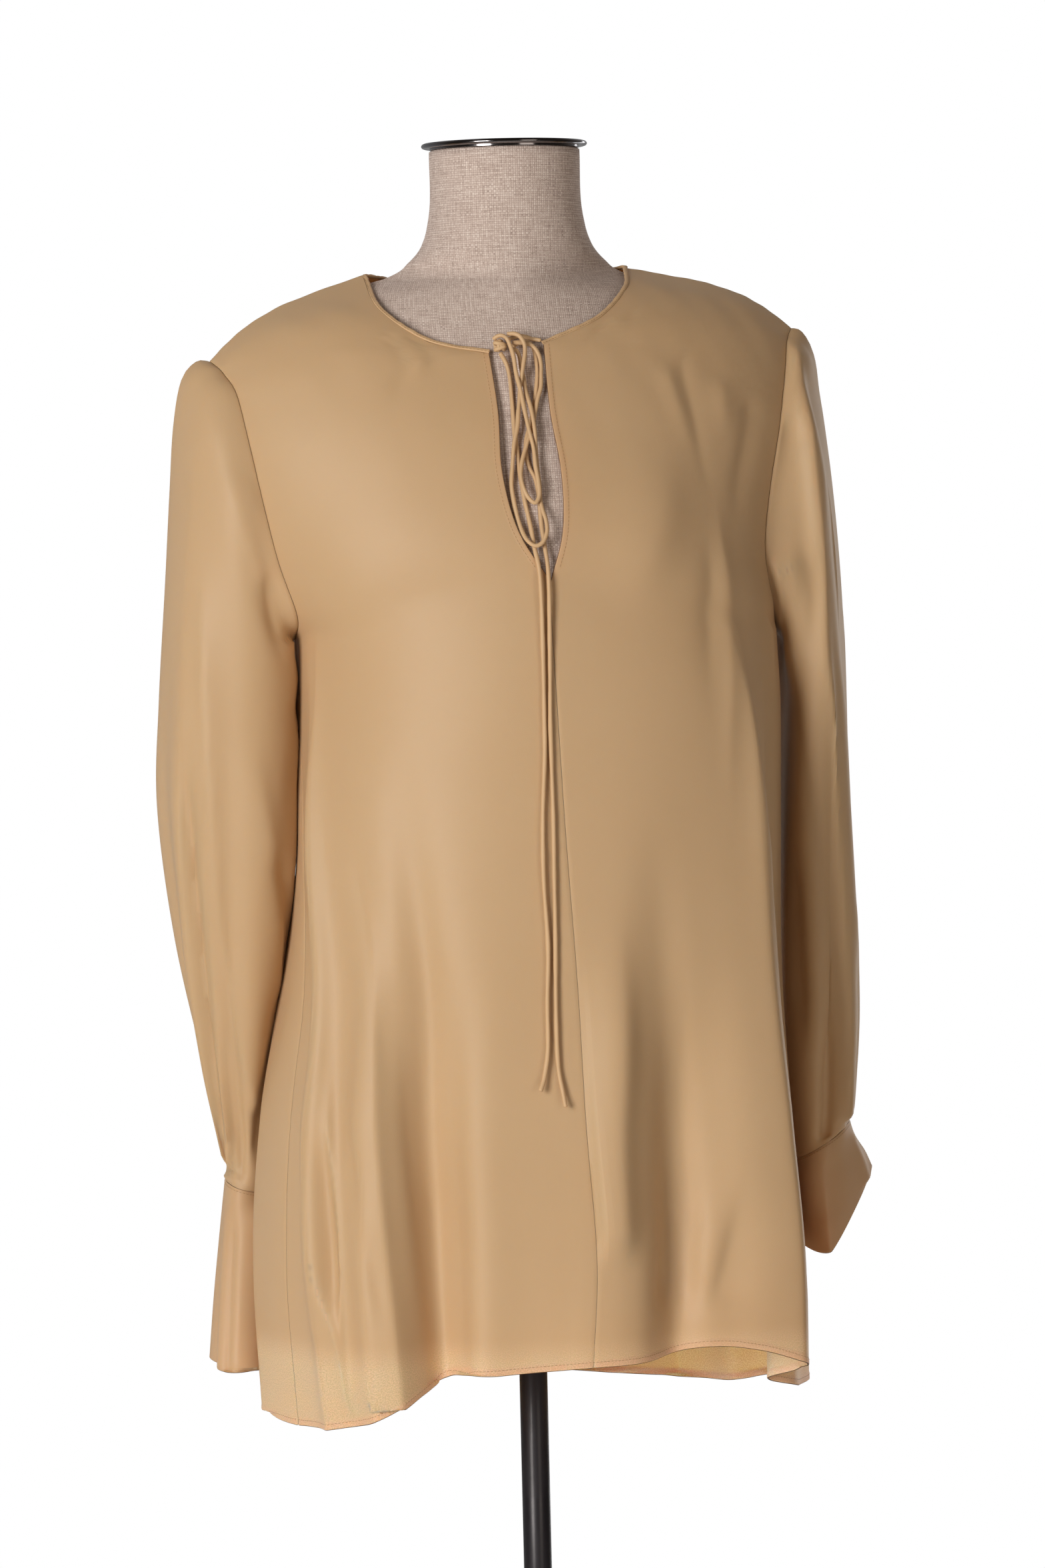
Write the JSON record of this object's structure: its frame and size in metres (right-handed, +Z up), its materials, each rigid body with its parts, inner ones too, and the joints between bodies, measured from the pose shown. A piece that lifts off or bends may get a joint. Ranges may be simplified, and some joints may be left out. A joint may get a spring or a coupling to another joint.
{
  "type": "tunic top on a limbless dress form with stand",
  "caption": "Long-sleeved A-line tunic with a tied keyhole neckline and flared cuffs, on a limbless dress form with a pole stand.",
  "frame": {"origin": "centre of the underside of the round base plate, on the floor", "axes": "+Z up along the pole; the front of the garment faces -Y; +X is the wearer's left, which is the right-hand side as seen from in front"},
  "size_m": [0.495, 0.3, 1.5],
  "materials": {
    "crepe": "soft satin crepe",
    "linen": "plain woven linen",
    "cap_metal": "dark polished",
    "stand_metal": "gloss gunmetal"
  },
  "bodies": {
    "root": {"front_left": "crepe", "front_right": "crepe", "back": "crepe", "sleeve_left": "crepe", "sleeve_right": "crepe", "cuff_left": "crepe", "cuff_right": "crepe", "neck_binding": "crepe", "tie_tail_left": "crepe", "tie_tail_right": "crepe", "tie_loop_left": "crepe", "tie_loop_right": "crepe", "tie_bridge": "crepe", "tie_knot": "crepe", "form_torso": "linen", "neck_cap": "cap_metal", "pole": "stand_metal", "base_plate": "stand_metal"}
  },
  "joints": []
}
